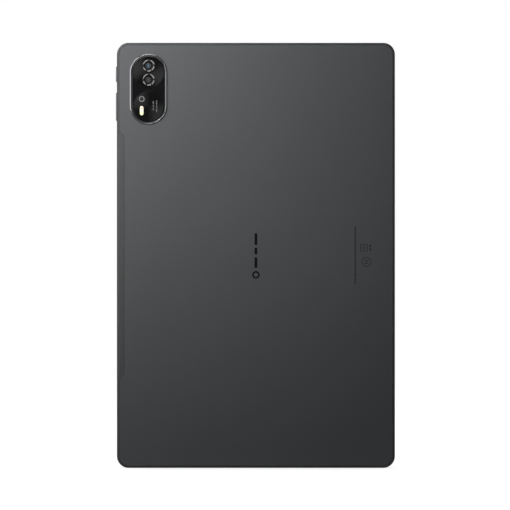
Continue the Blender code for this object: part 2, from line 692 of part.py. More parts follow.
# ---------------------------------------------------------------- screen
def build_screen():
    glass_x = POCKET_X - FIT
    glass_z = (POCKET_Z[0] + FIT, POCKET_Z[1] - FIT)
    glass = block(
        "cover_glass", (-glass_x, glass_x), GLASS_Y, glass_z, "cover_glass",
        corner=CORNER_RADIUS - GLASS_RIM - FIT, segments=6,
    )
    edge = glass.modifiers.new("Polished_edge", "BEVEL")
    edge.width = 0.2 * MM
    edge.segments = 1
    edge.limit_method = "ANGLE"
    edge.angle_limit = math.radians(50)
    gasket = block(
        "display_gasket", (-glass_x, glass_x), GASKET_Y, glass_z, "rubber_seal",
        corner=CORNER_RADIUS - GLASS_RIM - FIT,
    )
    cut(gasket, block(
        "cut_gasket", (GASKET_WIDTH - glass_x, glass_x - GASKET_WIDTH), grown(GASKET_Y, 1.0),
        grown(glass_z, -GASKET_WIDTH), corner=CORNER_RADIUS - GLASS_RIM - GASKET_WIDTH,
    ))
    block("lcd_cell", PAN_X, LCD_Y, PAN_Z, "cover_glass")
    pan = block("backlight_pan", PAN_X, PAN_Y, PAN_Z, "bare_steel")
    pan_inside = (grown(PAN_X, -PAN_WALL), grown(PAN_Z, -PAN_WALL))
    cut(pan, block(
        "cut_pan", pan_inside[0], (PAN_Y[0] + PAN_FLOOR, PAN_Y[1] + 1.0), pan_inside[1]
    ))
    sheet_x = grown(PAN_X, -PAN_WALL - SHEET_GAP)
    sheet_z = grown(PAN_Z, -PAN_WALL - SHEET_GAP)
    block("reflector_sheet", sheet_x, REFLECTOR_Y, sheet_z, "white_film")
    block("optical_film_stack", sheet_x, FILMS_Y, sheet_z, "white_film")
    guide_z = (LED_BAR_Z[1] + SHEET_GAP, sheet_z[1])
    block("light_guide_plate", sheet_x, LIGHT_GUIDE_Y, guide_z, "clear_acrylic")
    block("backlight_led_bar", grown(sheet_x, -0.8), LIGHT_GUIDE_Y, LED_BAR_Z, "white_film")

    frame = block(
        "mid_frame", MID_FRAME_X, MID_FRAME_Y, MID_FRAME_Z, "magnesium", corner=MID_FRAME_CORNER
    )
    depth = grown(MID_FRAME_Y, 1.0)
    cut(
        frame,
        block("cut_key_notch", (-HALF_WIDTH, KEY_BRACKET_X[1] + 2 * FIT), depth, KEY_NOTCH_Z),
        block(
            "cut_camera_notch", (-HALF_WIDTH, FRONT_CAMERA_X + FRONT_CAMERA_SIZE / 2 + 0.5), depth,
            around(FRONT_CAMERA_Z, FRONT_CAMERA_SIZE + 1.2),
        ),
        block("cut_usb_notch", around(0.0, USB_NOTCH[0]), depth, (-BEYOND, USB_NOTCH[1])),
        block("cut_flex_slot", FLEX_SLOT_X, depth, FLEX_SLOT_Z),
        block(
            "cut_cell_window_left", (-CELL_WINDOW_X[1], -CELL_WINDOW_X[0]), depth, CELL_WINDOW_Z,
            corner=4.0,
        ),
        block("cut_cell_window_right", CELL_WINDOW_X, depth, CELL_WINDOW_Z, corner=4.0),
    )
    for number, (x, z) in enumerate(screw_places(), 1):
        cut(frame, cylinder(f"cut_frame_hole_{number}", (x, z), SCREW_BORE_DIAMETER, depth, sides=12))
    cut(frame, cylinder(
        "cut_bracket_screw_window", (BRACKET_EAR_X, BRACKET_EAR_Z), SCREW_HEAD_DIAMETER + 0.8,
        depth, sides=14,
    ))
    ribbon("display_flex", DISPLAY_FLEX_PATH, DISPLAY_FLEX_X, FLEX_THICKNESS, "polyimide")
    ribbon("touch_flex", TOUCH_FLEX_PATH, TOUCH_FLEX_X, FLEX_THICKNESS, "polyimide")


# ---------------------------------------------------------------- boards, battery, antenna
def build_boards():
    board = block("main_board", BOARD_X, BOARD_Y, BOARD_Z, "circuit_board", corner=1.0, segments=2)
    cut(board, block(
        "cut_board_notch", (-HALF_WIDTH, BOARD_NOTCH_X), grown(BOARD_Y, 1.0), (BOARD_NOTCH_Z, HEIGHT)
    ))
    for name, x in SHIELDS.items():
        can = block(name, x, SHIELD_Y, SHIELD_Z, "bare_steel", corner=1.2, segments=2)
        cut(can, block(
            f"cut_{name}", grown(x, -SHIELD_WALL), (SHIELD_Y[0] - 1.0, SHIELD_Y[1] - SHIELD_WALL),
            grown(SHIELD_Z, -SHIELD_WALL), corner=1.0, segments=2,
        ))
    block("usb_board", USB_BOARD_X, USB_BOARD_Y, USB_BOARD_Z, "circuit_board", corner=1.0, segments=2)
    ribbon("main_flex_cable", MAIN_FLEX_PATH, MAIN_FLEX_X, FLEX_THICKNESS, "polyimide")


def build_battery():
    for side, name in ((-1, "battery_cell_left"), (1, "battery_cell_right")):
        x = sorted((side * CELL_INNER_X, side * CELL_OUTER_X))
        block(name, x, CELL_Y, CELL_Z, "cell_wrap", corner=0.9, axis="Z", segments=3)
    block(
        "battery_adhesive_sheet", (3.0 - CELL_OUTER_X, CELL_OUTER_X - 3.0), ADHESIVE_Y,
        grown(CELL_Z, -4.0), "white_film",
    )
    guard = block("battery_protection_board", GUARD_X, GUARD_Y, GUARD_Z, "circuit_board")
    unite(guard, block("add_battery_tail", TAIL_X, TAIL_Y, TAIL_Z))


def build_antenna():
    block("side_antenna", SIDE_ANTENNA_X, SIDE_ANTENNA_Y, SIDE_ANTENNA_Z, "polyimide")
    tube("antenna_coax_cable", COAX_ROUTE, COAX_DIAMETER, "black_polymer")


# ---------------------------------------------------------------- side keys
def build_keys():
    centre_y = middle(KEY_Y)
    keys = (
        ("power_button", POWER_Z, POWER_LENGTH, POWER_FLANGE_X, POWER_NUB_X, (0.0,)),
        ("volume_button", VOLUME_Z, VOLUME_LENGTH, VOLUME_FLANGE_X, VOLUME_NUB_X,
         (-KEY_NUB_OFFSET, KEY_NUB_OFFSET)),
    )
    flex = block("side_key_flex", KEY_FLEX_X, KEY_FLEX_Y, KEY_FLEX_Z, "polyimide")
    for name, z, length, flange_x, nub_x, nubs in keys:
        origin = (middle(flange_x), centre_y, z)
        cap = block(
            name, (-HALF_WIDTH - KEY_PROUD, flange_x[1]), KEY_Y, around(z, length),
            "anodised_aluminium", corner=1.05, axis="X", segments=5, origin=origin,
        )
        unite(cap, block(
            f"add_{name}_flange", flange_x, grown(KEY_Y, 0.3),
            around(z, length + 2 * KEY_FLANGE_EXTRA),
        ))
        for number, offset in enumerate(nubs):
            unite(cap, cylinder(
                f"add_{name}_nub_{number}", (centre_y, z + offset), KEY_NUB_DIAMETER,
                (flange_x[1] - JOINED, nub_x), axis="X", sides=12,
            ))
            unite(flex, cylinder(
                f"add_{name}_dome_{number}", (centre_y, z + offset), KEY_DOME_DIAMETER,
                (KEY_DOME_X, KEY_FLEX_X[0] + JOINED), axis="X", sides=14,
            ))
    block("key_bracket", KEY_BRACKET_X, grown(KEY_FLEX_Y, 0.3), grown(KEY_FLEX_Z, 0.5), "bare_steel")


# ---------------------------------------------------------------- openings in the short edges
def build_usb():
    x = around(0.0, USB_OUTER[0])
    y = around(USB_CENTRE_Y, USB_OUTER[1])
    shell = block("usb_receptacle", x, y, USB_Z, "bare_steel", corner=1.5, axis="Z", segments=5)
    cut(shell, block(
        "cut_usb_mouth", grown(x, -USB_WALL), grown(y, -USB_WALL),
        (USB_Z[0] - 1.0, USB_Z[1] - 0.9), corner=1.2, axis="Z", segments=5,
    ))
    block(
        "usb_tongue", around(0.0, USB_TONGUE[0]), around(USB_CENTRE_Y, USB_TONGUE[1]),
        (USB_Z[0] + 0.9, USB_Z[1] - 1.0), "black_polymer",
    )


def build_card_tray():
    tray_origin = (middle(TRAY_FACE_X), middle(TRAY_FACE_Y), HEIGHT)
    face_z = (HEIGHT - TRAY_FACE_THICKNESS, HEIGHT)
    tray = block(
        "card_tray", TRAY_FACE_X, TRAY_FACE_Y, face_z, "anodised_aluminium",
        corner=0.9, axis="Z", segments=4, origin=tray_origin,
    )
    unite(tray, block("add_tray_body", TRAY_X, TRAY_Y, (TRAY_END_Z, face_z[0] + JOINED)))
    cut(tray, block(
        "cut_card_recess", around(middle(TRAY_X), CARD_SIZE[0]),
        (TRAY_Y[1] - CARD_RECESS, TRAY_Y[1] + 1.0),
        (TRAY_END_Z + CARD_END_WALL, TRAY_END_Z + CARD_END_WALL + CARD_SIZE[1]),
        corner=0.8, segments=2,
    ))
    cut(tray, cylinder(
        "cut_pin_hole", (ROD_X, ROD_Y), PIN_HOLE_DIAMETER, grown(face_z, 1.0), axis="Z", sides=12
    ))
    socket = block("card_socket", SOCKET_X, SOCKET_Y, SOCKET_Z, "bare_steel")
    cut(socket, block(
        "cut_socket", grown(SOCKET_X, -SOCKET_WALL_X), grown(SOCKET_Y, -SOCKET_WALL_Y),
        grown(SOCKET_Z, 1.0),
    ))
    cylinder(
        "eject_rod", (ROD_X, ROD_Y), ROD_DIAMETER, ROD_Z, axis="Z", finish="bare_steel", sides=10,
        origin=(ROD_X, ROD_Y, ROD_Z[1]),
    )
    pivot = (LEVER_PIVOT_X, middle(LEVER_Y), LEVER_PIVOT_Z)
    lever = block(
        "eject_lever", LEVER_X, LEVER_Y, around(LEVER_PIVOT_Z, LEVER_WIDTH), "bare_steel",
        corner=0.6, segments=3, origin=pivot,
    )
    cut(lever, cylinder(
        "cut_lever_pivot", (LEVER_PIVOT_X, LEVER_PIVOT_Z), LEVER_BORE_DIAMETER,
        grown(LEVER_Y, 1.0), sides=10,
    ))


def build_sound():
    for name, (x, z) in SPEAKERS.items():
        box = block(name, x, SPEAKER_Y, z, "black_polymer", corner=1.2, segments=2)
        facing_wall = z[0] if z[0] < HEIGHT / 2 else z[1]
        cut(box, block(
            f"cut_{name}_port", around(middle(x), GRILLE_PITCH * GRILLE_SLOTS),
            around(GRILLE_CENTRE_Y, SPEAKER_PORT_HEIGHT),
            around(facing_wall, 2 * SPEAKER_PORT_DEPTH),
        ))
    for name, x, y, z in (
        ("top_microphone", TOP_MIC_X, TOP_MIC_Y, TOP_MIC_Z),
        ("bottom_microphone", BOTTOM_MIC_X, BOTTOM_MIC_Y, BOTTOM_MIC_Z),
    ):
        block(name, around(x, MIC_WIDTH), y, z, "rubber_seal")


# ---------------------------------------------------------------- screws
def screw(name, x, z, seat_y):
    """A wafer-head screw driven in from the screen's side, its head resting on seat_y."""
    head = (seat_y + SCREW_SEAT_GAP, seat_y + SCREW_SEAT_GAP + SCREW_HEAD)
    piece = cylinder(name, (x, z), SCREW_HEAD_DIAMETER, head, finish="bare_steel", sides=14)
    unite(piece, cylinder(
        f"add_{name}_shank", (x, z), SCREW_SHANK_DIAMETER,
        (head[0] - SCREW_DEPTH, head[0] + JOINED), sides=10,
    ))
    drive = (head[1] - DRIVE_DEPTH, head[1] + 1.0)
    for number, (across, along) in enumerate((DRIVE_SIZE, DRIVE_SIZE[::-1])):
        cut(piece, block(
            f"cut_{name}_drive_{number}", around(x, across), drive, around(z, along)
        ))


def build_screws():
    for number, (x, z) in enumerate(screw_places(), 1):
        screw(f"frame_screw_{number}", x, z, MID_FRAME_Y[1])
    screw("bracket_screw", BRACKET_EAR_X, BRACKET_EAR_Z, BRACKET_Y[1])


clear_scene()
tablet = make_collection("tablet_computer")
cutters = make_collection("cutters")
build_housing()
build_camera_island()
build_cameras()
build_screen()
build_boards()
build_battery()
build_antenna()
build_keys()
build_usb()
build_card_tray()
build_sound()
build_screws()
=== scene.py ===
"""Looks of an eleven-inch tablet computer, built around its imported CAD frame.

The tablet stands upright on its short edge: the back faces -Y, the screen faces +Y. Every
place and size is read from the frame's nodes, and sizes of fine detail are named below.
"""
import json
import math

import bmesh
import bpy
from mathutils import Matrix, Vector


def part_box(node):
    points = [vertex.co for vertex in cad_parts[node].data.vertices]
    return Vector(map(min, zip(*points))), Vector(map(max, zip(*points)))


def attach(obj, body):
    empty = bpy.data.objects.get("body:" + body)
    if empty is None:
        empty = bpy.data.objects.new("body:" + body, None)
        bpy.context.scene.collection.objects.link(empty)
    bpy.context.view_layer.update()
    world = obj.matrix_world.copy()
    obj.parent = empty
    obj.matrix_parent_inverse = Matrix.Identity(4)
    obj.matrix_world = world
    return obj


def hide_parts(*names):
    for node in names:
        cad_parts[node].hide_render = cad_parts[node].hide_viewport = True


MM = 0.001
BODY = "tablet_body"

# fine detail of the housing, in millimetres; DRILL is how far cutters go into a wall
BACK_ROUND = 1.0
FRONT_ROUND = 0.4
CORNER = 7.1
GROOVE_WIDTH = 0.45
GROOVE_DEPTH = 0.3
RIM = 0.85
LEDGE = 0.95
WALL = 1.8
FLOOR_WALL = 0.8
DRILL = 2.4
STRIP_MARGIN = 0.06
SEAM = 0.15
ISLAND_LIP = 1.05

# keys, slots, tray and island, in millimetres; a key's flange passes its cap by KEY_END
KEY_HALF_WIDTH = 1.1
KEY_END = 1.6
KEY_GAP = 0.12
SLOT_PITCH = 4.6
SLOT_LEVEL = -1.2
TRAY_HEAD = 1.05
FLASH_RIM = 0.36
MARK_LIFT = 0.008

# tones and levels of light
METAL_TONE = (0.1065, 0.109, 0.1135)
BLACK = (0.004, 0.004, 0.0042)
ROOM_BEHIND_CAMERA = 0.064
ROOM_SIDES = 0.16

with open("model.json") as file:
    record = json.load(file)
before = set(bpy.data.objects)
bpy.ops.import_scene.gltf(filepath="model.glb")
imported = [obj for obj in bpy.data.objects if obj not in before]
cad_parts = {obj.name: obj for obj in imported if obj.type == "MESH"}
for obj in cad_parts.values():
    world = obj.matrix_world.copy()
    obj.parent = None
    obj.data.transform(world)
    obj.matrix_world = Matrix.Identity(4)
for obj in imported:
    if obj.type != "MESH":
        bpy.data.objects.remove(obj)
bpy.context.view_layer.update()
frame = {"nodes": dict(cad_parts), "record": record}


class Box:
    """Where a CAD node is, in metres: its ends, middle and size along each axis."""

    def __init__(self, node):
        self.low, self.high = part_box(node)
        self.mid = (self.low + self.high) / 2
        self.size = self.high - self.low


shell = Box("rear_housing")
island = Box("camera_trim_ring")
island_glass = Box("camera_glass")
flash = Box("flash_lens")
strip = Box("antenna_cover")
screen = Box("cover_glass")
lenses = {name: Box(f"{name}_lens_ring") for name in ("main", "second")}
windows = {name: Box(f"{name}_lens_window") for name in ("main", "second")}
power_key = Box("power_button")
volume_key = Box("volume_button")
usb = Box("usb_receptacle")
tongue = Box("usb_tongue")
tray = Box("card_tray")
rod = Box("eject_rod")
speakers = [Box(node) for node in sorted(frame["nodes"]) if node.startswith("speaker")]
front_camera = Box("front_camera_module")
light_sensor = Box("light_sensor")
lcd = Box("lcd_cell")
microphones = [Box("top_microphone"), Box("bottom_microphone")]
BACK = shell.low.y
FRONT = shell.high.y
GLASS_TOP = island_glass.low.y


# ---------------------------------------------------------------- materials
class Surface:
    """A Principled material, with short calls that add the nodes of its pattern."""

    def __init__(self, name, **values):
        self.material = bpy.data.materials.new(name)
        self.material.use_nodes = True
        self.nodes = self.material.node_tree.nodes
        self.links = self.material.node_tree.links
        self.shader = self.nodes["Principled BSDF"]
        for socket, value in values.items():
            self.set(socket.replace("_", " "), value)
        self.place = self.nodes.new("ShaderNodeTexCoord").outputs["Object"]

    def set(self, socket, value):
        if isinstance(value, tuple) and len(value) == 3:
            value = (*value, 1.0)
        self.shader.inputs[socket].default_value = value

    def feed(self, socket, output):
        self.links.new(output, self.shader.inputs[socket])

    def add(self, kind, inputs, output=0, **settings):
        """A node of that kind; inputs maps its sockets to values or to other nodes' outputs."""
        node = self.nodes.new("ShaderNode" + kind)
        for name, value in settings.items():
            setattr(node, name, value)
        for name, value in inputs.items():
            if isinstance(value, bpy.types.NodeSocket):
                self.links.new(value, node.inputs[name])
            else:
                node.inputs[name].default_value = value
        return node.outputs[output]

    def axes(self):
        """X, Y and Z of the place on the object."""
        split = self.nodes.new("ShaderNodeSeparateXYZ")
        self.links.new(self.place, split.inputs[0])
        return split.outputs

    def calc(self, operation, first, second=0.0):
        return self.add("Math", {0: first, 1: second}, operation=operation)

    def vector(self, operation, first, second=(0.0, 0.0, 0.0), output=0):
        """Vector arithmetic; output 1 is for the operations that give a number."""
        inputs = {0: first, 1: second}
        return self.add("VectorMath", inputs, output, operation=operation)

    def noise(self, scale, detail=2.0, stretch=None):
        where = self.place
        if stretch:
            where = self.add("Mapping", {"Vector": where, "Scale": stretch})
        return self.add("TexNoise", {"Vector": where, "Scale": scale, "Detail": detail})

    def spread(self, value, low, high, start=0.0, end=1.0):
        """Maps start to end onto low to high, and holds the end values outside."""
        return self.add("MapRange", {0: value, 1: start, 2: end, 3: low, 4: high})

    def mix(self, share, first, second):
        """A blend of two colours."""
        node = self.nodes.new("ShaderNodeMix")
        node.data_type = "RGBA"
        for index, value in ((0, share), (6, first), (7, second)):
            if isinstance(value, bpy.types.NodeSocket):
                self.links.new(value, node.inputs[index])
            else:
                node.inputs[index].default_value = (
                    (*value, 1.0) if isinstance(value, tuple) else value
                )
        return node.outputs[2]

    def bump(self, height, strength, distance):
        inputs = {"Height": height, "Strength": strength, "Distance": distance}
        self.feed("Normal", self.add("Bump", inputs))

    def shaded(self, colour, change, scale, roughness, play):
        """Colour and roughness that drift a little over the surface."""
        drift = self.noise(scale, 3.0)
        darker = tuple(channel * (1 - change) for channel in colour)
        lighter = tuple(channel * (1 + change) for channel in colour)
        self.feed("Base Color", self.mix(drift, darker, lighter))
        self.feed("Roughness", self.spread(drift, roughness - play, roughness + play))


def blasted_metal(name, colour, roughness):
    """Bead-blasted and anodised aluminium: a fine even grain with a faint drift of tone."""
    made = Surface(name, Metallic=1.0)
    made.shaded(colour, change=0.03, scale=22.0, roughness=roughness, play=0.012)
    made.bump(made.noise(9000.0, detail=1.0), strength=0.06, distance=0.02 * MM)
    return made.material


def polished_metal(name, colour, roughness):
    """Diamond-cut metal with hairlines that only show in a highlight."""
    made = Surface(name, Metallic=1.0)
    made.shaded(colour, change=0.04, scale=300.0, roughness=roughness, play=0.04)
    hairlines = made.noise(2500.0, stretch=(1.0, 1.0, 0.06))
    made.bump(hairlines, strength=0.08, distance=0.01 * MM)
    return made.material


def moulded_plastic(name, colour, roughness, grain=6000.0, metallic=0.0):
    """Plastic, film, paint or foil with a fine even grain."""
    made = Surface(name, Metallic=metallic)
    made.shaded(colour, change=0.05, scale=60.0, roughness=roughness, play=0.03)
    made.bump(made.noise(grain), strength=0.1, distance=0.02 * MM)
    return made.material


def brushed_steel(name, colour, roughness):
    """Rolled sheet metal with its grain along X."""
    made = Surface(name, Metallic=1.0)
    made.shaded(colour, change=0.08, scale=40.0, roughness=roughness, play=0.06)
    grain = made.noise(1800.0, detail=3.0, stretch=(0.04, 1.0, 1.0))
    made.bump(grain, strength=0.2, distance=0.02 * MM)
    return made.material


def glossy(name, colour, roughness, coat=0.0):
    """Smooth dark glass or enamel."""
    made = Surface(name, Coat_Weight=coat, Coat_Roughness=0.02)
    made.shaded(colour, change=0.1, scale=80.0, roughness=roughness, play=roughness * 0.3)
    return made.material


def circuit_material():
    """Solder mask over a faint lattice of tracks."""
    made = Surface("solder_mask", Coat_Weight=0.3, Coat_Roughness=0.2)
    tracks = made.add(
        "TexBrick", {"Vector": made.place, "Scale": 220.0, "Mortar Size": 0.018}, output=1
    )
    made.feed("Base Color", made.mix(tracks, (0.004, 0.035, 0.05), (0.02, 0.1, 0.11)))
    made.feed("Roughness", made.spread(made.noise(90.0), 0.35, 0.5))
    made.bump(tracks, strength=0.2, distance=0.03 * MM)
    return made.material


def screen_glass_material():
    """Black glass, with the switched-off panel a trace lighter than the printed border."""
    made = Surface("screen_glass", Coat_Weight=0.0, IOR=1.5)
    x, _, z = made.axes()
    half_x = lcd.size.x / 2 - 3.1 * MM
    half_z = lcd.size.z / 2 - 1.85 * MM
    soft = 0.15 * MM
    parts = []
    for along, middle, half in ((x, 0.0, half_x), (z, lcd.mid.z, half_z)):
        away = made.calc("ABSOLUTE", made.calc("SUBTRACT", along, middle))
        parts.append(made.spread(away, 1.0, 0.0, half - soft, half + soft))
    panel = made.calc("MULTIPLY", parts[0], parts[1])
    made.feed("Base Color", made.mix(panel, (0.0022, 0.0022, 0.0026), (0.0075, 0.0078, 0.0088)))
    made.feed("Roughness", made.spread(made.noise(30.0, 3.0), 0.035, 0.055))
    return made.material


def spun_disc_material(name, centre, tone, turn):
    """A spun disc under glass: fine circles, and two opposite fans of painted highlight in its
    colour, black outside them.
    """
    pitch = 0.22 * MM
    inner, outer = 1.5 * MM, 7.5 * MM
    made = Surface(name, Metallic=1.0, Coat_Weight=1.0, Coat_Roughness=0.03)
    offset = made.vector("SUBTRACT", made.place, centre)
    direction = made.vector("NORMALIZE", offset)
    distance = made.vector("LENGTH", offset, output=1)
    # painted highlight: turn is the direction of the two fans, tone their colour
    highlight_direction = (math.cos(math.radians(turn)), 0.0, math.sin(math.radians(turn)))
    facing_highlight = made.vector("DOT_PRODUCT", direction, highlight_direction, output=1)
    painted_highlight_fan = made.spread(made.calc("ABSOLUTE", facing_highlight), 0.0, 1.0, 0.45, 1.0)
    painted_highlight_fan = made.calc("POWER", painted_highlight_fan, 1.3)
    circles = made.calc("SINE", made.calc("MULTIPLY", distance, 2 * math.pi / pitch))
    share = made.calc("MULTIPLY", painted_highlight_fan, made.spread(circles, 0.85, 1.0, -1.0, 1.0))
    share = made.calc("MULTIPLY", share, made.spread(distance, 0.45, 1.0, inner, outer))
    # painted highlight: black except in the fans, where the circles show in tone
    made.feed("Base Color", made.mix(share, BLACK, (tone, tone, tone * 1.02)))
    made.feed("Roughness", made.spread(circles, 0.36, 0.42, -1.0, 1.0))
    return made.material


def flash_material():
    """Diffuser over a warm and a cool lamp: pinkish above, white between, yellow-green below."""
    made = Surface("flash_diffuser", Coat_Weight=0.5, Coat_Roughness=0.1)
    _, _, z = made.axes()
    height = made.spread(z, 0.0, 1.0, flash.low.z, flash.high.z)
    ramp = made.nodes.new("ShaderNodeValToRGB")
    made.links.new(height, ramp.inputs[0])
    stops = (
        (0.0, (0.86, 0.92, 0.6)),
        (0.2, (0.8, 0.88, 0.46)),
        (0.38, (0.82, 0.9, 0.56)),
        (0.5, (0.92, 0.91, 0.77)),
        (0.62, (0.86, 0.78, 0.62)),
        (0.72, (0.68, 0.57, 0.42)),
        (0.86, (0.92, 0.78, 0.6)),
        (1.0, (0.95, 0.84, 0.7)),
    )
    ramp.color_ramp.elements.remove(ramp.color_ramp.elements[1])
    for index, (at, colour) in enumerate(stops):
        stop = ramp.color_ramp.elements[0] if index == 0 else ramp.color_ramp.elements.new(at)
        stop.position = at
        stop.color = (*colour, 1.0)
    made.feed("Base Color", ramp.outputs[0])
    made.feed("Emission Color", ramp.outputs[0])
    made.set("Emission Strength", 0.6)
    made.feed("Roughness", made.spread(made.noise(900.0), 0.3, 0.45))
    ridge_pitch = 0.3 * MM
    ridges = made.calc("SINE", made.calc("MULTIPLY", z, 2 * math.pi / ridge_pitch))
    made.bump(ridges, strength=0.3, distance=0.05 * MM)
    return made.material


def lens_material(name, centre, glint, glass, edge):
    """Coated front element: an upright painted highlight (the glint), a paler ring round it and
    black glass outside.
    """
    half_width, half_height = 0.55 * MM, 1.35 * MM
    ring_inner, ring_outer = 1.0 * MM, 1.35 * MM
    fade_inner, fade_outer = 1.65 * MM, 1.85 * MM
    made = Surface(name, Coat_Weight=1.0, Coat_Roughness=0.02)
    offset = made.vector("SUBTRACT", made.place, centre)
    away = made.vector("LENGTH", offset, output=1)
    squeezed = made.vector("MULTIPLY", offset, (1 / half_width, 0.0, 1 / half_height))
    # painted highlight: an upright ellipse of the glint colour round the centre
    painted_glint_mask = made.spread(made.vector("LENGTH", squeezed, output=1), 1.0, 0.0, 0.25, 1.0)
    element = made.mix(made.spread(away, 0.0, 1.0, ring_inner, ring_outer), glass, edge)
    inside = made.spread(away, 1.0, 0.0, fade_inner, fade_outer)
    made.feed("Base Color", made.mix(painted_glint_mask, made.mix(inside, BLACK, element), glint))
    made.feed("Roughness", made.spread(made.noise(200.0), 0.06, 0.1))
    return made.material


looks = {
    "housing": blasted_metal("anodised_back", METAL_TONE, 0.44),
    "keys": blasted_metal("anodised_keys", (0.15, 0.151, 0.154), 0.4),
    "strip": blasted_metal("painted_strip", (0.094, 0.095, 0.0965), 0.44),
    "trim": polished_metal("polished_trim", (0.42, 0.42, 0.43), 0.1),
    "silver": polished_metal("silver_print", (0.24, 0.24, 0.24), 0.35),
    "black_glass": glossy("island_black_glass", (0.006, 0.006, 0.007), 0.05, 1.0),
    "grey_print": moulded_plastic("grey_print", (0.16, 0.16, 0.16), 0.4),
    "black_ring": glossy("lens_black_ring", (0.004, 0.004, 0.0044), 0.25),
    "flash": flash_material(),
    "screen": screen_glass_material(),
    "polymer": moulded_plastic("black_polymer", (0.018, 0.018, 0.02), 0.5, 3000.0),
    "rubber": moulded_plastic("rubber_seal", (0.012, 0.012, 0.013), 0.75, 2500.0),
    "steel": brushed_steel("bare_steel", (0.5, 0.51, 0.52), 0.3),
    "dark_steel": brushed_steel("dark_steel", (0.16, 0.16, 0.17), 0.35),
    "magnesium": brushed_steel("magnesium", (0.3, 0.31, 0.32), 0.5),
    "pouch": moulded_plastic("pouch_foil", (0.05, 0.05, 0.055), 0.42, 500.0, 0.4),
    "polyimide": moulded_plastic("polyimide", (0.33, 0.12, 0.02), 0.35, 1500.0),
    "film": moulded_plastic("white_film", (0.78, 0.79, 0.81), 0.35, 900.0),
    "acrylic": moulded_plastic("clear_acrylic", (0.7, 0.76, 0.8), 0.12, 700.0),
    "circuit": circuit_material(),
    "gold": polished_metal("gold_contacts", (0.8, 0.55, 0.2), 0.25),
    "mark": moulded_plastic("etched_mark", (0.006, 0.006, 0.007), 0.6, 6000.0, 0.9),
    "faint_mark": moulded_plastic("faint_mark", (0.03, 0.031, 0.033), 0.5, 3000.0, 0.6),
}


# ---------------------------------------------------------------- shapes
def outline(half_u, half_v, radius, steps):
    """Points round a rectangle with round corners, anticlockwise."""
    smallest = 0.002 * MM
    radius = max(min(radius, half_u, half_v), smallest)
    points = []
    for quarter, (side_u, side_v) in enumerate(((1, 1), (-1, 1), (-1, -1), (1, -1))):
        for step in range(steps + 1):
            angle = math.pi / 2 * (quarter + step / steps)
            points.append((
                side_u * (half_u - radius) + radius * math.cos(angle),
                side_v * (half_v - radius) + radius * math.sin(angle),
            ))
    return points


def turned(axis, u, v, level):
    """A point of a form that is carried along the axis; u and v are across it."""
    return {"X": (level, u, v), "Y": (u, level, v), "Z": (u, v, level)}[axis]


def loft(bm, centre, half, radius, profile, axis="Y", steps=10, closed=False):
    """Rings of a rounded rectangle through profile's (inset, level) points, all in metres."""
    rings = []
    for inset, level in profile:
        ring = outline(half[0] - inset, half[1] - inset, radius - inset, steps)
        rings.append([
            bm.verts.new(turned(axis, centre[0] + u, centre[1] + v, level)) for u, v in ring
        ])
    pairs = list(zip(rings, rings[1:] + rings[:1]))
    for first, second in pairs if closed else pairs[:-1]:
        for index in range(len(first)):
            after = (index + 1) % len(first)
            bm.faces.new((first[index], first[after], second[after], second[index]))
    if not closed:
        bm.faces.new(rings[0][::-1])
        bm.faces.new(rings[-1])


def pin(bm, centre, radius, profile, axis="Y", steps=8, closed=False):
    """A turned form: the same rings, on a circle."""
    loft(bm, centre, (radius, radius), radius, profile, axis, steps, closed)


def arc(start, end, bulge, count):
    """Profile points on a quarter round from start to end; bulge is the corner it goes round."""
    points = []
    for step in range(count + 1):
        t = math.pi / 2 * step / count
        from_start, from_end = 1 - math.sin(t), 1 - math.cos(t)
        points.append(tuple(
            bulge[i] + (start[i] - bulge[i]) * from_start + (end[i] - bulge[i]) * from_end
            for i in (0, 1)
        ))
    return points


def prism(bm, corners, low, high):
    """A flat outline in X and Z, carried from low to high along Y."""
    rows = [[bm.verts.new((x, level, z)) for x, z in corners] for level in (low, high)]
    for index in range(len(corners)):
        after = (index + 1) % len(corners)
        bm.faces.new((rows[0][index], rows[0][after], rows[1][after], rows[1][index]))
    bm.faces.new(rows[0][::-1])
    bm.faces.new(rows[1])


def cuboid(bm, low, high):
    """A box between two corners."""
    (x0, y0, z0), (x1, y1, z1) = low, high
    prism(bm, ((x0, z0), (x1, z0), (x1, z1), (x0, z1)), y0, y1)


def soften(mesh, angle=32):
    """Smooth shading, with edges sharper than the angle in degrees left sharp."""
    mesh.shade_smooth()
    mesh.set_sharp_from_angle(angle=math.radians(angle))


def tool(bm, name):
    """Turns the form into an object: a cutter, or the start of a piece."""
    bmesh.ops.remove_doubles(bm, verts=bm.verts, dist=1e-7)
    bmesh.ops.recalc_face_normals(bm, faces=bm.faces)
    mesh = bpy.data.meshes.new(name)
    bm.to_mesh(mesh)
    bm.free()
    made = bpy.data.objects.new(name, mesh)
    bpy.context.scene.collection.objects.link(made)
    return made


def build(name, bm, look, body=BODY, replaces=(), angle=32):
    """Turns the form into a piece that rides on its body."""
    made = tool(bm, name)
    made.data.materials.append(looks[look] if isinstance(look, str) else look)
    soften(made.data, angle)
    weighted = made.modifiers.new("Flat_faces", "WEIGHTED_NORMAL")
    weighted.keep_sharp = True
    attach(made, body)
    if replaces:
        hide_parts(*replaces)
    return made


def carve(made, steps):
    """Applies (operation, cutter) in turn to the piece, then removes the cutters."""
    weighted = made.modifiers["Flat_faces"]
    weighted.show_viewport = False
    for operation, cutter in steps:
        modifier = made.modifiers.new(cutter.name, "BOOLEAN")
        modifier.operation = operation
        modifier.solver = "EXACT"
        modifier.object = cutter
    bpy.context.view_layer.update()
    graph = bpy.context.evaluated_depsgraph_get()
    mesh = bpy.data.meshes.new_from_object(made.evaluated_get(graph))
    for modifier in list(made.modifiers):
        if modifier.type == "BOOLEAN":
            made.modifiers.remove(modifier)
    made.data = mesh
    weighted.show_viewport = True
    soften(mesh)
    for _, cutter in steps:
        bpy.data.objects.remove(cutter)


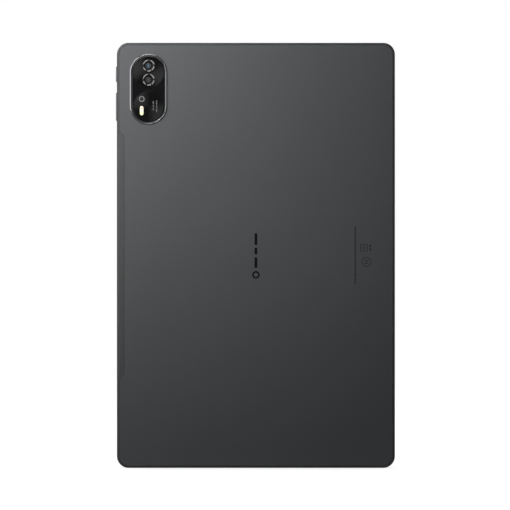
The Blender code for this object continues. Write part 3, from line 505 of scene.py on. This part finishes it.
# ---------------------------------------------------------------- housing
def shell_form(bm, grooved):
    """The machined tray: rounded outside, glass pocket, ledge and hollow inside.

    A fine groove runs round the back where the flat meets the rounded edge.
    """
    back_round = BACK_ROUND * MM
    front_round = FRONT_ROUND * MM
    rim = RIM * MM
    ledge = FRONT - LEDGE * MM
    bevel = 0.05 * MM
    profile = []
    if grooved:
        wide, deep = GROOVE_WIDTH * MM, GROOVE_DEPTH * MM
        profile = [
            (back_round + wide, BACK),
            (back_round + 0.65 * wide, BACK + deep),
            (back_round + 0.35 * wide, BACK + deep),
        ]
    profile += arc((back_round, BACK), (0.0, BACK + back_round), (0.0, BACK), 8)
    profile += arc((0.0, FRONT - front_round), (front_round, FRONT), (0.0, FRONT), 4)
    profile += [
        (rim - bevel, FRONT),
        (rim, FRONT - bevel),
        (rim, ledge),
        (WALL * MM, ledge),
        (WALL * MM, BACK + FLOOR_WALL * MM),
    ]
    half = (shell.size.x / 2, shell.size.z / 2)
    loft(bm, (shell.mid.x, shell.mid.z), half, CORNER * MM, profile, steps=14)


def strip_cutter(shrink):
    """The slanted-ended bar that the antenna cover fills."""
    beyond = 3 * MM
    inner = strip.high.x - shrink
    outer = shell.low.x - beyond
    run = inner - outer
    low, high = strip.low.z - STRIP_MARGIN * MM, strip.high.z + STRIP_MARGIN * MM
    edge_run = strip.high.x - shell.low.x
    low_inner = low + edge_run + shrink
    high_inner = high - edge_run - shrink
    bm = bmesh.new()
    corners = (
        (inner, low_inner), (inner, high_inner),
        (outer, high_inner + run), (outer, low_inner - run),
    )
    prism(bm, corners, BACK - beyond, strip.high.y + STRIP_MARGIN * MM - shrink)
    return tool(bm, "strip_cutter")


def flared_hole(bm, centre, half, radius, face, depth, axis, chamfer):
    """A cutter for a hole through a wall, its mouth opened by a small chamfer at the face."""
    out = math.copysign(1.0, -depth)
    profile = [
        (-chamfer, face + out * 2 * MM),
        (-chamfer, face),
        (0.0, face - out * chamfer),
        (0.0, face + depth),
    ]
    loft(bm, centre, half, radius, profile, axis, 8)


def slot_places(speaker):
    """Middles of a speaker's grille slots along X."""
    return [speaker.mid.x + (number - 2) * SLOT_PITCH * MM for number in range(5)]


def short_edge(box):
    """The short edge that a piece sits at: its face, and 1 for the top or -1 for the bottom."""
    return (shell.high.z, 1) if box.mid.z > shell.mid.z else (shell.low.z, -1)


def edge_openings():
    """The cutter for all openings in the housing's edges."""
    bm = bmesh.new()
    wall = DRILL * MM
    for key in (power_key, volume_key):
        length = key.size.z / 2 - KEY_END * MM + KEY_GAP * MM
        flared_hole(
            bm, (key.mid.y, key.mid.z), (KEY_HALF_WIDTH * MM + KEY_GAP * MM, length), 1.2 * MM,
            shell.low.x, wall, "X", 0.12 * MM,
        )
    gap = 0.06 * MM
    flared_hole(
        bm, (usb.mid.x, usb.mid.y), (usb.size.x / 2 + gap, usb.size.y / 2 + gap),
        usb.size.y / 2, shell.low.z, wall, "Z", 0.22 * MM,
    )
    gap = 0.08 * MM
    flared_hole(
        bm, (tray.mid.x, tray.mid.y), (tray.size.x / 2 + gap, tray.size.y / 2 + gap),
        0.98 * MM, shell.high.z, -wall, "Z", 0.1 * MM,
    )
    for speaker in speakers:
        face, side = short_edge(speaker)
        for x in slot_places(speaker):
            flared_hole(
                bm, (x, SLOT_LEVEL * MM), (1.7 * MM, 0.6 * MM), 0.6 * MM, face, -side * wall, "Z",
                0.1 * MM,
            )
    for microphone in microphones:
        face, side = short_edge(microphone)
        flared_hole(
            bm, (microphone.mid.x, -1.5 * MM), (0.5 * MM, 0.5 * MM), 0.5 * MM, face, -side * wall,
            "Z", 0.08 * MM,
        )
    return tool(bm, "edge_openings")


def make_housing():
    """The metal tray with its openings, and the antenna cover cut from the same form."""
    bm = bmesh.new()
    shell_form(bm, True)
    housing = build(
        "housing_shell", bm, "housing", replaces=("rear_housing",)
    )
    opening = bmesh.new()
    half = (island.size.x / 2 - ISLAND_LIP * MM, island.size.z / 2 - ISLAND_LIP * MM)
    loft(
        opening, (island.mid.x, island.mid.z), half, half[0],
        ((0.0, BACK - 3 * MM), (0.0, BACK + 2 * MM)), steps=20,
    )
    carve(housing, (
        ("DIFFERENCE", strip_cutter(0.0)),
        ("DIFFERENCE", edge_openings()),
        ("DIFFERENCE", tool(opening, "island_opening")),
    ))

    bm = bmesh.new()
    shell_form(bm, False)
    cover = build(
        "antenna_strip", bm, "strip", replaces=("antenna_cover",)
    )
    carve(cover, (("INTERSECT", strip_cutter(SEAM * MM)),))


def make_bosses():
    """The blocks in the corners that the frame screws go into."""
    reach = 1.9 * MM
    bm = bmesh.new()
    for number in range(1, 5):
        screw = Box(f"frame_screw_{number}")
        side = math.copysign(1.0, screw.mid.x)
        inner = abs(screw.mid.x) - reach
        outer = shell.size.x / 2 - WALL * MM
        span = sorted((side * inner, side * outer))
        low = (span[0], BACK + FLOOR_WALL * MM, screw.mid.z - reach)
        high = (span[1], 0.1 * MM, screw.mid.z + reach)
        cuboid(bm, low, high)
    build("screw_bosses", bm, "housing")


# ---------------------------------------------------------------- camera island
def pill(bm, box, profile, steps, closed=False):
    """The profile carried round the box's outline, its ends fully round."""
    half = (box.size.x / 2, box.size.z / 2)
    loft(bm, (box.mid.x, box.mid.z), half, half[0], profile, steps=steps, closed=closed)


def segment(bm, centre, inner, outer, start, end, low, high):
    """An arc-shaped bar in X and Z between two radii and two angles in degrees."""
    count = 10
    angles = [math.radians(start + (end - start) * step / count) for step in range(count + 1)]
    corners = [
        (centre.x + radius * math.cos(angle), centre.z + radius * math.sin(angle))
        for radius, turns in ((outer, angles), (inner, angles[::-1])) for angle in turns
    ]
    prism(bm, corners, low, high)


def make_trim():
    """The raised metal frame of the camera island: two slopes that meet in a narrow crest."""
    top = island.low.y
    base = BACK + 0.02 * MM
    crest_outer, crest_inner = 0.62 * MM, 0.7 * MM
    wide = 1.3 * MM
    bm = bmesh.new()
    profile = [
        (0.0, base),
        (0.0, top + 0.36 * MM),
        (0.02 * MM, top + 0.31 * MM),
        (0.58 * MM, top + 0.01 * MM),
        (crest_outer, top),
        (crest_inner, top),
        (0.74 * MM, top + 0.01 * MM),
        (1.28 * MM, top + 0.232 * MM),
        (wide, top + 0.26 * MM),
        (wide, base),
    ]
    pill(bm, island, profile, steps=32, closed=True)
    build("island_trim", bm, "trim", replaces=("camera_trim_ring",), angle=5)


def island_holes(lens_gap, flash_gap):
    """The cutter for the lens and flash holes in a piece of the island."""
    ends = ((0.0, GLASS_TOP - 1 * MM), (0.0, GLASS_TOP + 2 * MM))
    rim = FLASH_RIM * MM
    bm = bmesh.new()
    for lens in lenses.values():
        pin(bm, (lens.mid.x, lens.mid.z), lens.size.x / 2 + lens_gap, ends, steps=14)
    half = (flash.size.x / 2 + flash_gap - rim, flash.size.z / 2 + flash_gap - rim)
    loft(bm, (flash.mid.x, flash.mid.z), half, half[0], ends, steps=12)
    return tool(bm, "island_holes")


def make_island_glass():
    """The black glass inside the trim, its edge eased."""
    top = GLASS_TOP
    bm = bmesh.new()
    pill(bm, island_glass, [
        (0.12 * MM, top), (0.04 * MM, top + 0.03 * MM), (0.0, top + 0.12 * MM),
        (0.0, island_glass.high.y),
    ], steps=32)
    glass = build(
        "island_glass", bm, "black_glass", replaces=("camera_glass",)
    )
    carve(glass, (("DIFFERENCE", island_holes(0.06 * MM, 0.06 * MM)),))


def make_discs():
    """The two spun discs that show through the glass."""
    top = GLASS_TOP
    middle_x = island.mid.x
    lens_z = (lenses["main"].mid.z + lenses["second"].mid.z) / 2
    # tone and turn: colour and direction of each disc's painted highlight fans
    for name, z, radius, tone, turn in (
        ("upper", lens_z + 0.25 * MM, 9.3 * MM, 0.027, 160),
        ("lower", flash.mid.z + 2.6 * MM, 9.1 * MM, 0.025, 145),
    ):
        bm = bmesh.new()
        pin(bm, (middle_x, z), radius, [
            (0.1 * MM, top - 0.012 * MM), (0.0, top + 0.01 * MM), (0.0, top + 0.1 * MM),
        ], steps=24)
        look = spun_disc_material(f"spun_{name}", (middle_x, top, z), tone, turn)
        disc = build(f"spun_disc_{name}", bm, look)
        carve(disc, (("DIFFERENCE", island_holes(0.08 * MM, 0.1 * MM)),))


def make_lenses():
    """Each camera's black collar, the bright segments on it and its domed front element."""
    # each lens: painted glint colour, glass colour, paler edge ring colour
    tints = {
        "main": ((0.19, 0.35, 0.52), (0.04, 0.055, 0.07), (0.085, 0.09, 0.095)),
        "second": ((0.14, 0.14, 0.14), (0.045, 0.045, 0.045), (0.075, 0.075, 0.075)),
    }
    segments = ((103, 164), (14, 68), (-53, -10), (-102, -68), (-160, -126))
    dome_rise, dome_rings = 0.05 * MM, 8
    for name, lens in lenses.items():
        centre = (lens.mid.x, lens.mid.z)
        radius = lens.size.x / 2
        top = lens.low.y
        bm = bmesh.new()
        pin(bm, centre, radius, [
            (0.06 * MM, top + 0.03 * MM), (0.14 * MM, top), (0.95 * MM, top),
            (1.12 * MM, top + 0.12 * MM), (1.15 * MM, lens.high.y), (0.0, lens.high.y),
            (0.0, top + 0.12 * MM),
        ], steps=16, closed=True)
        build(
            f"{name}_lens_collar", bm, "black_ring",
            replaces=(f"{name}_lens_ring",), angle=40,
        )
        bm = bmesh.new()
        low, high = top - 0.015 * MM, top + 0.02 * MM
        for start, end in segments:
            segment(bm, lens.mid, 2.95 * MM, 3.6 * MM, start, end, low, high)
        build(f"{name}_lens_segments", bm, "silver", angle=40)
        window = windows[name]
        edge = window.size.x / 2
        dome = []
        for step in range(1, dome_rings + 1):
            part = step / dome_rings
            dome.append((edge * (1 - part), window.low.y - dome_rise * (1 - part ** 2)))
        bm = bmesh.new()
        pin(bm, centre, edge, dome + [(0.0, window.high.y)], steps=12)
        # centre of the painted highlight, a little left of the window's middle
        glint = (window.mid.x - 0.2 * MM, window.low.y, window.mid.z)
        build(
            f"{name}_lens_element", bm, lens_material(f"{name}_coating_painted_glint", glint, *tints[name]),
            replaces=(f"{name}_lens_window",),
        )


def make_flash():
    """The flash's diffuser, inside a black rim."""
    bm = bmesh.new()
    top = flash.low.y
    half = (flash.size.x / 2 - FLASH_RIM * MM, flash.size.z / 2 - FLASH_RIM * MM)
    loft(bm, (flash.mid.x, flash.mid.z), half, half[0], [
        (0.25 * MM, top - 0.02 * MM), (0.06 * MM, top + 0.02 * MM), (0.0, top + 0.12 * MM),
        (0.0, flash.high.y),
    ], steps=12)
    build("flash_window", bm, "flash", replaces=("flash_lens",))


def make_island_marks():
    """A plain ring and two rows of plain dashes, where the real island carries print."""
    top = GLASS_TOP - 0.014 * MM
    low, high = top + 0.02 * MM, top - 0.006 * MM
    sheet = ((0.0, low), (0.0, high))
    width = 0.55 * MM
    bm = bmesh.new()
    pin(bm, (flash.mid.x, flash.high.z + 3.9 * MM), 1.75 * MM, [
        *sheet, (width, high), (width, low),
    ], steps=12, closed=True)
    build("island_ring_mark", bm, "silver")
    bm = bmesh.new()
    for column, lift, lengths in ((7.0, 1.0, (1.7, 1.2, 1.9)), (9.0, 0.0, (2.1, 1.5, 2.6))):
        z = flash.mid.z + (lift - 0.9) * MM
        for length in lengths:
            centre = (flash.mid.x + column * MM, z + length / 2 * MM)
            loft(bm, centre, (0.33 * MM, length / 2 * MM), 0.2 * MM, sheet, steps=3)
            z += (length + 0.45) * MM
    build("island_dash_marks", bm, "grey_print")


def make_back_marks():
    """Plain shapes where the real back carries a name and small print."""
    low, high = BACK + 0.05 * MM, BACK - MARK_LIFT * MM
    sheet = [(0.0, low), (0.0, high)]
    middle_x, middle_z = shell.mid.x, shell.mid.z

    def bar(centre, half, radius, steps=3):
        loft(bm, centre, half, radius, sheet, steps=steps)

    def ring(centre, half, radius, width, steps):
        profile = sheet + [(width, high), (width, low)]
        loft(bm, centre, half, radius, profile, steps=steps, closed=True)

    bm = bmesh.new()
    ring((middle_x, middle_z - 11.8 * MM), (2.3 * MM, 2.3 * MM), 2.3 * MM, 1.0 * MM, 10)
    half_width = 0.85 * MM
    for centre, length in ((-4.4, 6.6), (2.6, 4.2), (9.8, 7.2)):
        place = (middle_x, middle_z + centre * MM)
        bar(place, (half_width, length / 2 * MM), half_width, steps=5)
    build("back_mark", bm, "mark")

    bm = bmesh.new()
    column = shell.high.x - 24.0 * MM
    z = middle_z - 17.3 * MM
    for number in range(15):
        length = (1.6 + 0.5 * (number % 3)) * MM
        bar((column, z + length / 2), (0.45 * MM, length / 2), 0.2 * MM)
        z += length + 0.22 * MM
    icon_x = column + 5.2 * MM
    ring((icon_x, middle_z + 4.6 * MM), (2.3 * MM, 2.2 * MM), 0.7 * MM, 0.45 * MM, 4)
    ring((icon_x, middle_z + 4.6 * MM), (0.9 * MM, 0.9 * MM), 0.9 * MM, 0.4 * MM, 6)
    ring((icon_x + 1.6 * MM, middle_z - 3.9 * MM), (3.0 * MM, 3.0 * MM), 3.0 * MM, 0.45 * MM, 8)
    for offset in (-0.8, 0.8):
        place = (icon_x + 1.6 * MM, middle_z + (offset - 3.9) * MM)
        bar(place, (1.3 * MM, 0.3 * MM), 0.25 * MM)
    for offset in (-1.1, 1.1):
        place = (icon_x + 3.9 * MM, middle_z + (4.6 + offset) * MM)
        bar(place, (0.6 * MM, 0.8 * MM), 0.3 * MM)
    build("back_faint_marks", bm, "faint_mark")


# ---------------------------------------------------------------- screen side
def make_screen():
    """The cover glass with an eased edge, and the camera and light sensor behind its border."""
    front = screen.high.y
    edge = (0.0, front - 0.22 * MM)
    bm = bmesh.new()
    half = (screen.size.x / 2, screen.size.z / 2)
    profile = [(0.0, screen.low.y), edge]
    profile += arc(edge, (0.35 * MM, front), (0.0, front), 4)[1:]
    loft(bm, (screen.mid.x, screen.mid.z), half, (CORNER - RIM - 0.15) * MM, profile, steps=14)
    build("screen_glass", bm, "screen", replaces=("cover_glass",))

    behind = front - 0.05 * MM
    proud = front + 0.006 * MM
    sensor_proud = front + 0.004 * MM
    camera_place = (front_camera.mid.x, front_camera.mid.z)
    width = 0.55 * MM
    bm = bmesh.new()
    pin(bm, camera_place, 1.7 * MM, [
        (0.0, behind), (0.0, proud), (width, proud), (width, behind),
    ], steps=10, closed=True)
    build("front_camera_ring", bm, "black_ring")
    bm = bmesh.new()
    pin(bm, camera_place, 1.1 * MM, [
        (0.0, behind), (0.0, sensor_proud), (0.5 * MM, proud), (1.0 * MM, front + 0.008 * MM),
    ])
    centre = (front_camera.mid.x, front, front_camera.mid.z)
    # painted highlight: a faint bluish glint on the front lens
    look = lens_material(
        "front_coating_painted_glint", centre, (0.03, 0.05, 0.12), (0.008, 0.008, 0.01), (0.01, 0.01, 0.012)
    )
    build("front_camera_lens", bm, look)
    bm = bmesh.new()
    pin(bm, (light_sensor.mid.x, light_sensor.mid.z), 0.8 * MM, [
        (0.0, behind), (0.0, sensor_proud), (0.7 * MM, sensor_proud),
    ])
    build("light_sensor_window", bm, "black_ring")


# ---------------------------------------------------------------- keys, ports, tray
def make_key(name, box, body, node):
    """A pill-shaped key with a crowned face, a fine chamfer and its flange behind the wall."""
    face = box.low.x
    flange_low = box.high.x - 0.5 * MM
    centre = (box.mid.y, box.mid.z)
    half = (KEY_HALF_WIDTH * MM, box.size.z / 2 - KEY_END * MM)
    crown = ((1.0, 0.0), (0.55, 0.02), (0.3, 0.05), (0.14, 0.11), (0.04, 0.2), (0.0, 0.32))
    profile = [(inset * MM, face + drop * MM) for inset, drop in crown]
    bm = bmesh.new()
    loft(bm, centre, half, 1.08 * MM, [*profile, (0.0, flange_low + 0.1 * MM)], "X", 8)
    flange = bmesh.new()
    loft(flange, centre, (box.size.y / 2, box.size.z / 2), 0.4 * MM,
         [(0.0, flange_low), (0.0, flange_low + 0.3 * MM)], "X", 3)
    key = build(name, bm, "keys", body, (node,))
    carve(key, (("UNION", tool(flange, "flange")),))


def make_usb():
    """The socket's steel shell, and its blade with gold contacts on both faces."""
    wall = 0.3 * MM
    ease = 0.06 * MM
    bm = bmesh.new()
    half = (usb.size.x / 2, usb.size.y / 2)
    profile = [
        (0.0, usb.high.z), (0.0, usb.low.z + ease), (ease, usb.low.z),
        (wall - ease, usb.low.z), (wall, usb.low.z + 0.08 * MM), (wall, usb.high.z - 0.9 * MM),
    ]
    loft(bm, (usb.mid.x, usb.mid.y), half, half[1], profile, "Z", 10)
    build("usb_socket", bm, "steel", replaces=("usb_receptacle",))
    bm = bmesh.new()
    loft(bm, (tongue.mid.x, tongue.mid.y), (tongue.size.x / 2, tongue.size.y / 2), 0.3 * MM, [
        (0.12 * MM, tongue.low.z), (0.0, tongue.low.z + 0.15 * MM), (0.0, tongue.high.z),
    ], "Z", 4)
    build("usb_blade", bm, "polymer", replaces=("usb_tongue",))

    pitch, half_width, thick = 0.5 * MM, 0.13 * MM, 0.02 * MM
    low_z, high_z = tongue.low.z + 0.4 * MM, tongue.low.z + 3.4 * MM
    bm = bmesh.new()
    for side in (-1, 1):
        level = tongue.mid.y + side * tongue.size.y / 2
        low_y, high_y = sorted((level, level + side * thick))
        for number in range(12):
            x = tongue.mid.x + (number - 5.5) * pitch
            cuboid(bm, (x - half_width, low_y, low_z), (x + half_width, high_y, high_z))
    build("usb_contacts", bm, "gold")


def make_grilles():
    """Woven dust screens behind the speaker slots."""
    made = Surface("dust_screen", Metallic=0.6, Roughness=0.5)
    weave = made.add("TexChecker", {"Vector": made.place, "Scale": 7000.0}, output=1)
    made.feed("Base Color", made.mix(weave, (0.004, 0.004, 0.004), (0.05, 0.05, 0.052)))
    made.bump(weave, strength=0.5, distance=0.05 * MM)
    bm = bmesh.new()
    for speaker in speakers:
        _, side = short_edge(speaker)
        level = speaker.high.z if side > 0 else speaker.low.z
        low, high = sorted((level - side * 0.6 * MM, level - side * 0.45 * MM))
        loft(bm, (speaker.mid.x, SLOT_LEVEL * MM), (11.2 * MM, 0.85 * MM), 0.3 * MM,
             [(0.0, low), (0.0, high)], "Z", 3)
    build("speaker_screens", bm, made.material)


def make_tray():
    """The tray's coloured head with its pin hole, and the frame that holds the card."""
    top = tray.high.z
    half = (tray.size.x / 2, tray.size.y / 2)
    bm = bmesh.new()
    loft(bm, (tray.mid.x, tray.mid.y), half, 0.93 * MM, [
        (0.0, top - TRAY_HEAD * MM), (0.0, top - 0.1 * MM), (0.03 * MM, top - 0.03 * MM),
        (0.12 * MM, top),
    ], "Z", 8)
    head = build("tray_head", bm, "keys", "tray", ("card_tray",))
    pin_radius = 0.45 * MM
    hole = bmesh.new()
    flared_hole(hole, (rod.mid.x, rod.mid.y), (pin_radius, pin_radius), pin_radius, top, -2 * MM,
                "Z", 0.08 * MM)
    carve(head, (("DIFFERENCE", tool(hole, "pin_hole")),))

    left, right = tray.low.x + 0.7 * MM, tray.low.x + 14.5 * MM
    low_y, high_y = tray.low.y + 0.3 * MM, tray.high.y - 0.3 * MM
    ease = 0.1 * MM
    middle = (left + right) / 2
    centre = (middle, (tray.low.z + top - TRAY_HEAD * MM) / 2)
    half = ((right - left) / 2, (top - 1.02 * MM - tray.low.z) / 2)
    bm = bmesh.new()
    loft(bm, centre, half, 0.5 * MM, [
        (ease, low_y), (0.0, low_y + ease), (0.0, high_y - ease), (ease, high_y),
    ], steps=5)
    frame_piece = build("tray_frame", bm, "dark_steel", "tray")
    card_z = tray.low.z + 9.2 * MM
    cuts = []
    for name, z, half, low in (
        ("card_recess", card_z, (5.6 * MM, 7.6 * MM), high_y - 0.75 * MM),
        ("card_window", card_z - 1 * MM, (4.2 * MM, 4.6 * MM), low_y - 1 * MM),
    ):
        bm = bmesh.new()
        loft(bm, (middle, z), half, 0.8 * MM, [(0.0, low), (0.0, high_y + 1 * MM)], steps=5)
        cuts.append(("DIFFERENCE", tool(bm, name)))
    carve(frame_piece, cuts)


# ---------------------------------------------------------------- pieces kept from the frame
def paint_frame_nodes():
    """Materials for the inner pieces, which keep the frame's own shapes."""
    by_slot = {
        "black_polymer": "polymer", "circuit_board": "circuit", "bare_steel": "steel",
        "pan_metal": "steel", "frame_metal": "magnesium", "cell_pouch": "pouch",
        "polyimide": "polyimide", "white_film": "film", "clear_acrylic": "acrylic",
        "cable_jacket": "polymer", "rubber_seal": "rubber", "lcd_glass": "screen",
        "key_metal": "keys", "lens_glass": "black_glass",
    }
    for entry in frame["record"]["subparts"]:
        node = frame["nodes"][entry["node"]]
        look = by_slot.get(entry["material_slot"])
        if look and not node.hide_render:
            node.data.materials.clear()
            node.data.materials.append(looks[look])


# ---------------------------------------------------------------- studio
def make_stage():
    """A pale floor, nearly as bright as the room behind it, a little darker close to the tablet:
    a painted contact shadow.

    Only the camera sees that brightness; what lights the tablet is a faint strip under it.
    """
    bpy.ops.mesh.primitive_plane_add(size=40.0, location=(0.0, 0.0, shell.low.z - 0.02 * MM))
    floor = bpy.context.object
    floor.name = "floor"
    made = Surface(
        "pale_floor", Base_Color=(0.15, 0.15, 0.15), Roughness=0.9, Specular_IOR_Level=0.0,
        Emission_Color=(1.0, 1.0, 1.0),
    )
    # painted shadow: the glow the camera sees dims where ambient occlusion finds the tablet near
    near = made.add("AmbientOcclusion", {"Distance": 0.06}, output="AO", samples=8)
    painted_contact_shadow = made.spread(near, 0.78, 0.99, 0.5, 1.0)
    _, y, _ = made.axes()
    bounce = made.spread(made.calc("ABSOLUTE", y), 0.12, 0.0, 0.01, 0.05)
    from_camera = made.add("LightPath", {}, output="Is Camera Ray")
    made.feed("Emission Strength", made.add("Mix", {0: from_camera, 2: bounce, 3: painted_contact_shadow}))
    floor.data.materials.append(made.material)


def make_world():
    """A grey room, darkest behind the camera; the camera itself sees plain white."""
    world = bpy.data.worlds.new("studio")
    bpy.context.scene.world = world
    world.use_nodes = True
    nodes, links = world.node_tree.nodes, world.node_tree.links
    room = nodes["Background"]
    room.inputs["Color"].default_value = (0.97, 0.98, 1.0, 1.0)
    direction = nodes.new("ShaderNodeTexCoord")
    split = nodes.new("ShaderNodeSeparateXYZ")
    level = nodes.new("ShaderNodeMapRange")
    level.interpolation_type = "SMOOTHSTEP"
    for socket, value in (
        ("From Min", -0.9), ("From Max", -0.25),
        ("To Min", ROOM_BEHIND_CAMERA), ("To Max", ROOM_SIDES),
    ):
        level.inputs[socket].default_value = value
    links.new(direction.outputs["Generated"], split.inputs[0])
    links.new(split.outputs["Y"], level.inputs["Value"])
    links.new(level.outputs["Result"], room.inputs["Strength"])
    white = nodes.new("ShaderNodeBackground")
    white.inputs["Color"].default_value = (1.0, 1.0, 1.0, 1.0)
    path = nodes.new("ShaderNodeLightPath")
    mix = nodes.new("ShaderNodeMixShader")
    links.new(path.outputs["Is Camera Ray"], mix.inputs[0])
    links.new(room.outputs[0], mix.inputs[1])
    links.new(white.outputs[0], mix.inputs[2])
    links.new(mix.outputs[0], nodes["World Output"].inputs["Surface"])


def softbox(name, place, aim, size, power):
    """A rectangular lamp that faces its aim and that the camera doesn't see."""
    light = bpy.data.lights.new(name, "AREA")
    light.shape = "RECTANGLE"
    light.size, light.size_y = size
    light.energy = power
    made = bpy.data.objects.new(name, light)
    made.location = place
    made.rotation_mode = "QUATERNION"
    made.rotation_quaternion = (Vector(aim) - Vector(place)).to_track_quat("-Z", "Y")
    made.visible_camera = False
    bpy.context.scene.collection.objects.link(made)


def make_lights():
    """Soft light on the back from the upper left, a strip for each edge, and the screen side."""
    middle = (0.0, 0.0, shell.mid.z)
    corner = (-0.05, 0.0, 0.2)
    left = (-0.07, 0.0, 0.23)
    for light in (
        ("key", (-0.18, -0.5, 0.45), corner, (0.3, 0.24), 1.4),
        ("key_low", (-0.27, -0.5, 0.24), corner, (0.24, 0.24), 0.57),
        ("key_middle", (0.01, -0.5, 0.17), (0.01, 0.0, 0.17), (0.08, 0.08), 0.046),
        ("left_inner", (-0.85, -0.91, 0.23), left, (0.3, 0.6), 0.25),
        ("left", (-1.1, -0.64, 0.35), left, (0.36, 0.9), 1.12),
        ("upper_left", (-0.78, -0.66, 0.95), left, (0.3, 0.3), 0.24),
        ("above", (-0.1, -0.65, 1.24), left, (0.8, 0.3), 0.45),
        ("left_edge", (-1.1, -0.2, 0.7), (-0.08, 0.0, 0.2), (0.35, 1.2), 3.2),
        ("right_edge", (1.15, -0.1, 0.2), (0.08, 0.0, 0.13), (0.5, 1.2), 3.2),
        ("screen_side", (-0.9, 1.2, 0.9), middle, (1.0, 0.7), 9.0),
        ("overhead", (-0.1, 0.6, 1.3), middle, (0.9, 0.9), 6.0),
    ):
        softbox(*light)


def make_camera():
    """Square on to the back, from a distance that gives the reference framing."""
    width_seen = 308.2 * MM
    lens, sensor = 300.0, 36.0
    camera = bpy.data.cameras.new("camera")
    camera.lens = lens
    camera.sensor_width = sensor
    camera.clip_start = 0.01
    camera.clip_end = 20.0
    made = bpy.data.objects.new("camera", camera)
    distance = width_seen * lens / sensor
    made.location = (-0.56 * MM, BACK - distance, shell.mid.z + 0.2 * MM)
    made.rotation_euler = (math.pi / 2, 0.0, 0.0)
    bpy.context.scene.collection.objects.link(made)
    bpy.context.scene.camera = made


make_camera()
make_housing()
make_bosses()
make_trim()
make_island_glass()
make_discs()
make_lenses()
make_flash()
make_island_marks()
make_back_marks()
make_screen()
make_key("power_key_cap", power_key, "power_key", "power_button")
make_key("volume_key_cap", volume_key, "volume_key", "volume_button")
make_usb()
make_grilles()
make_tray()
paint_frame_nodes()
make_stage()
make_world()
make_lights()
bpy.context.scene.view_settings.view_transform = "Standard"
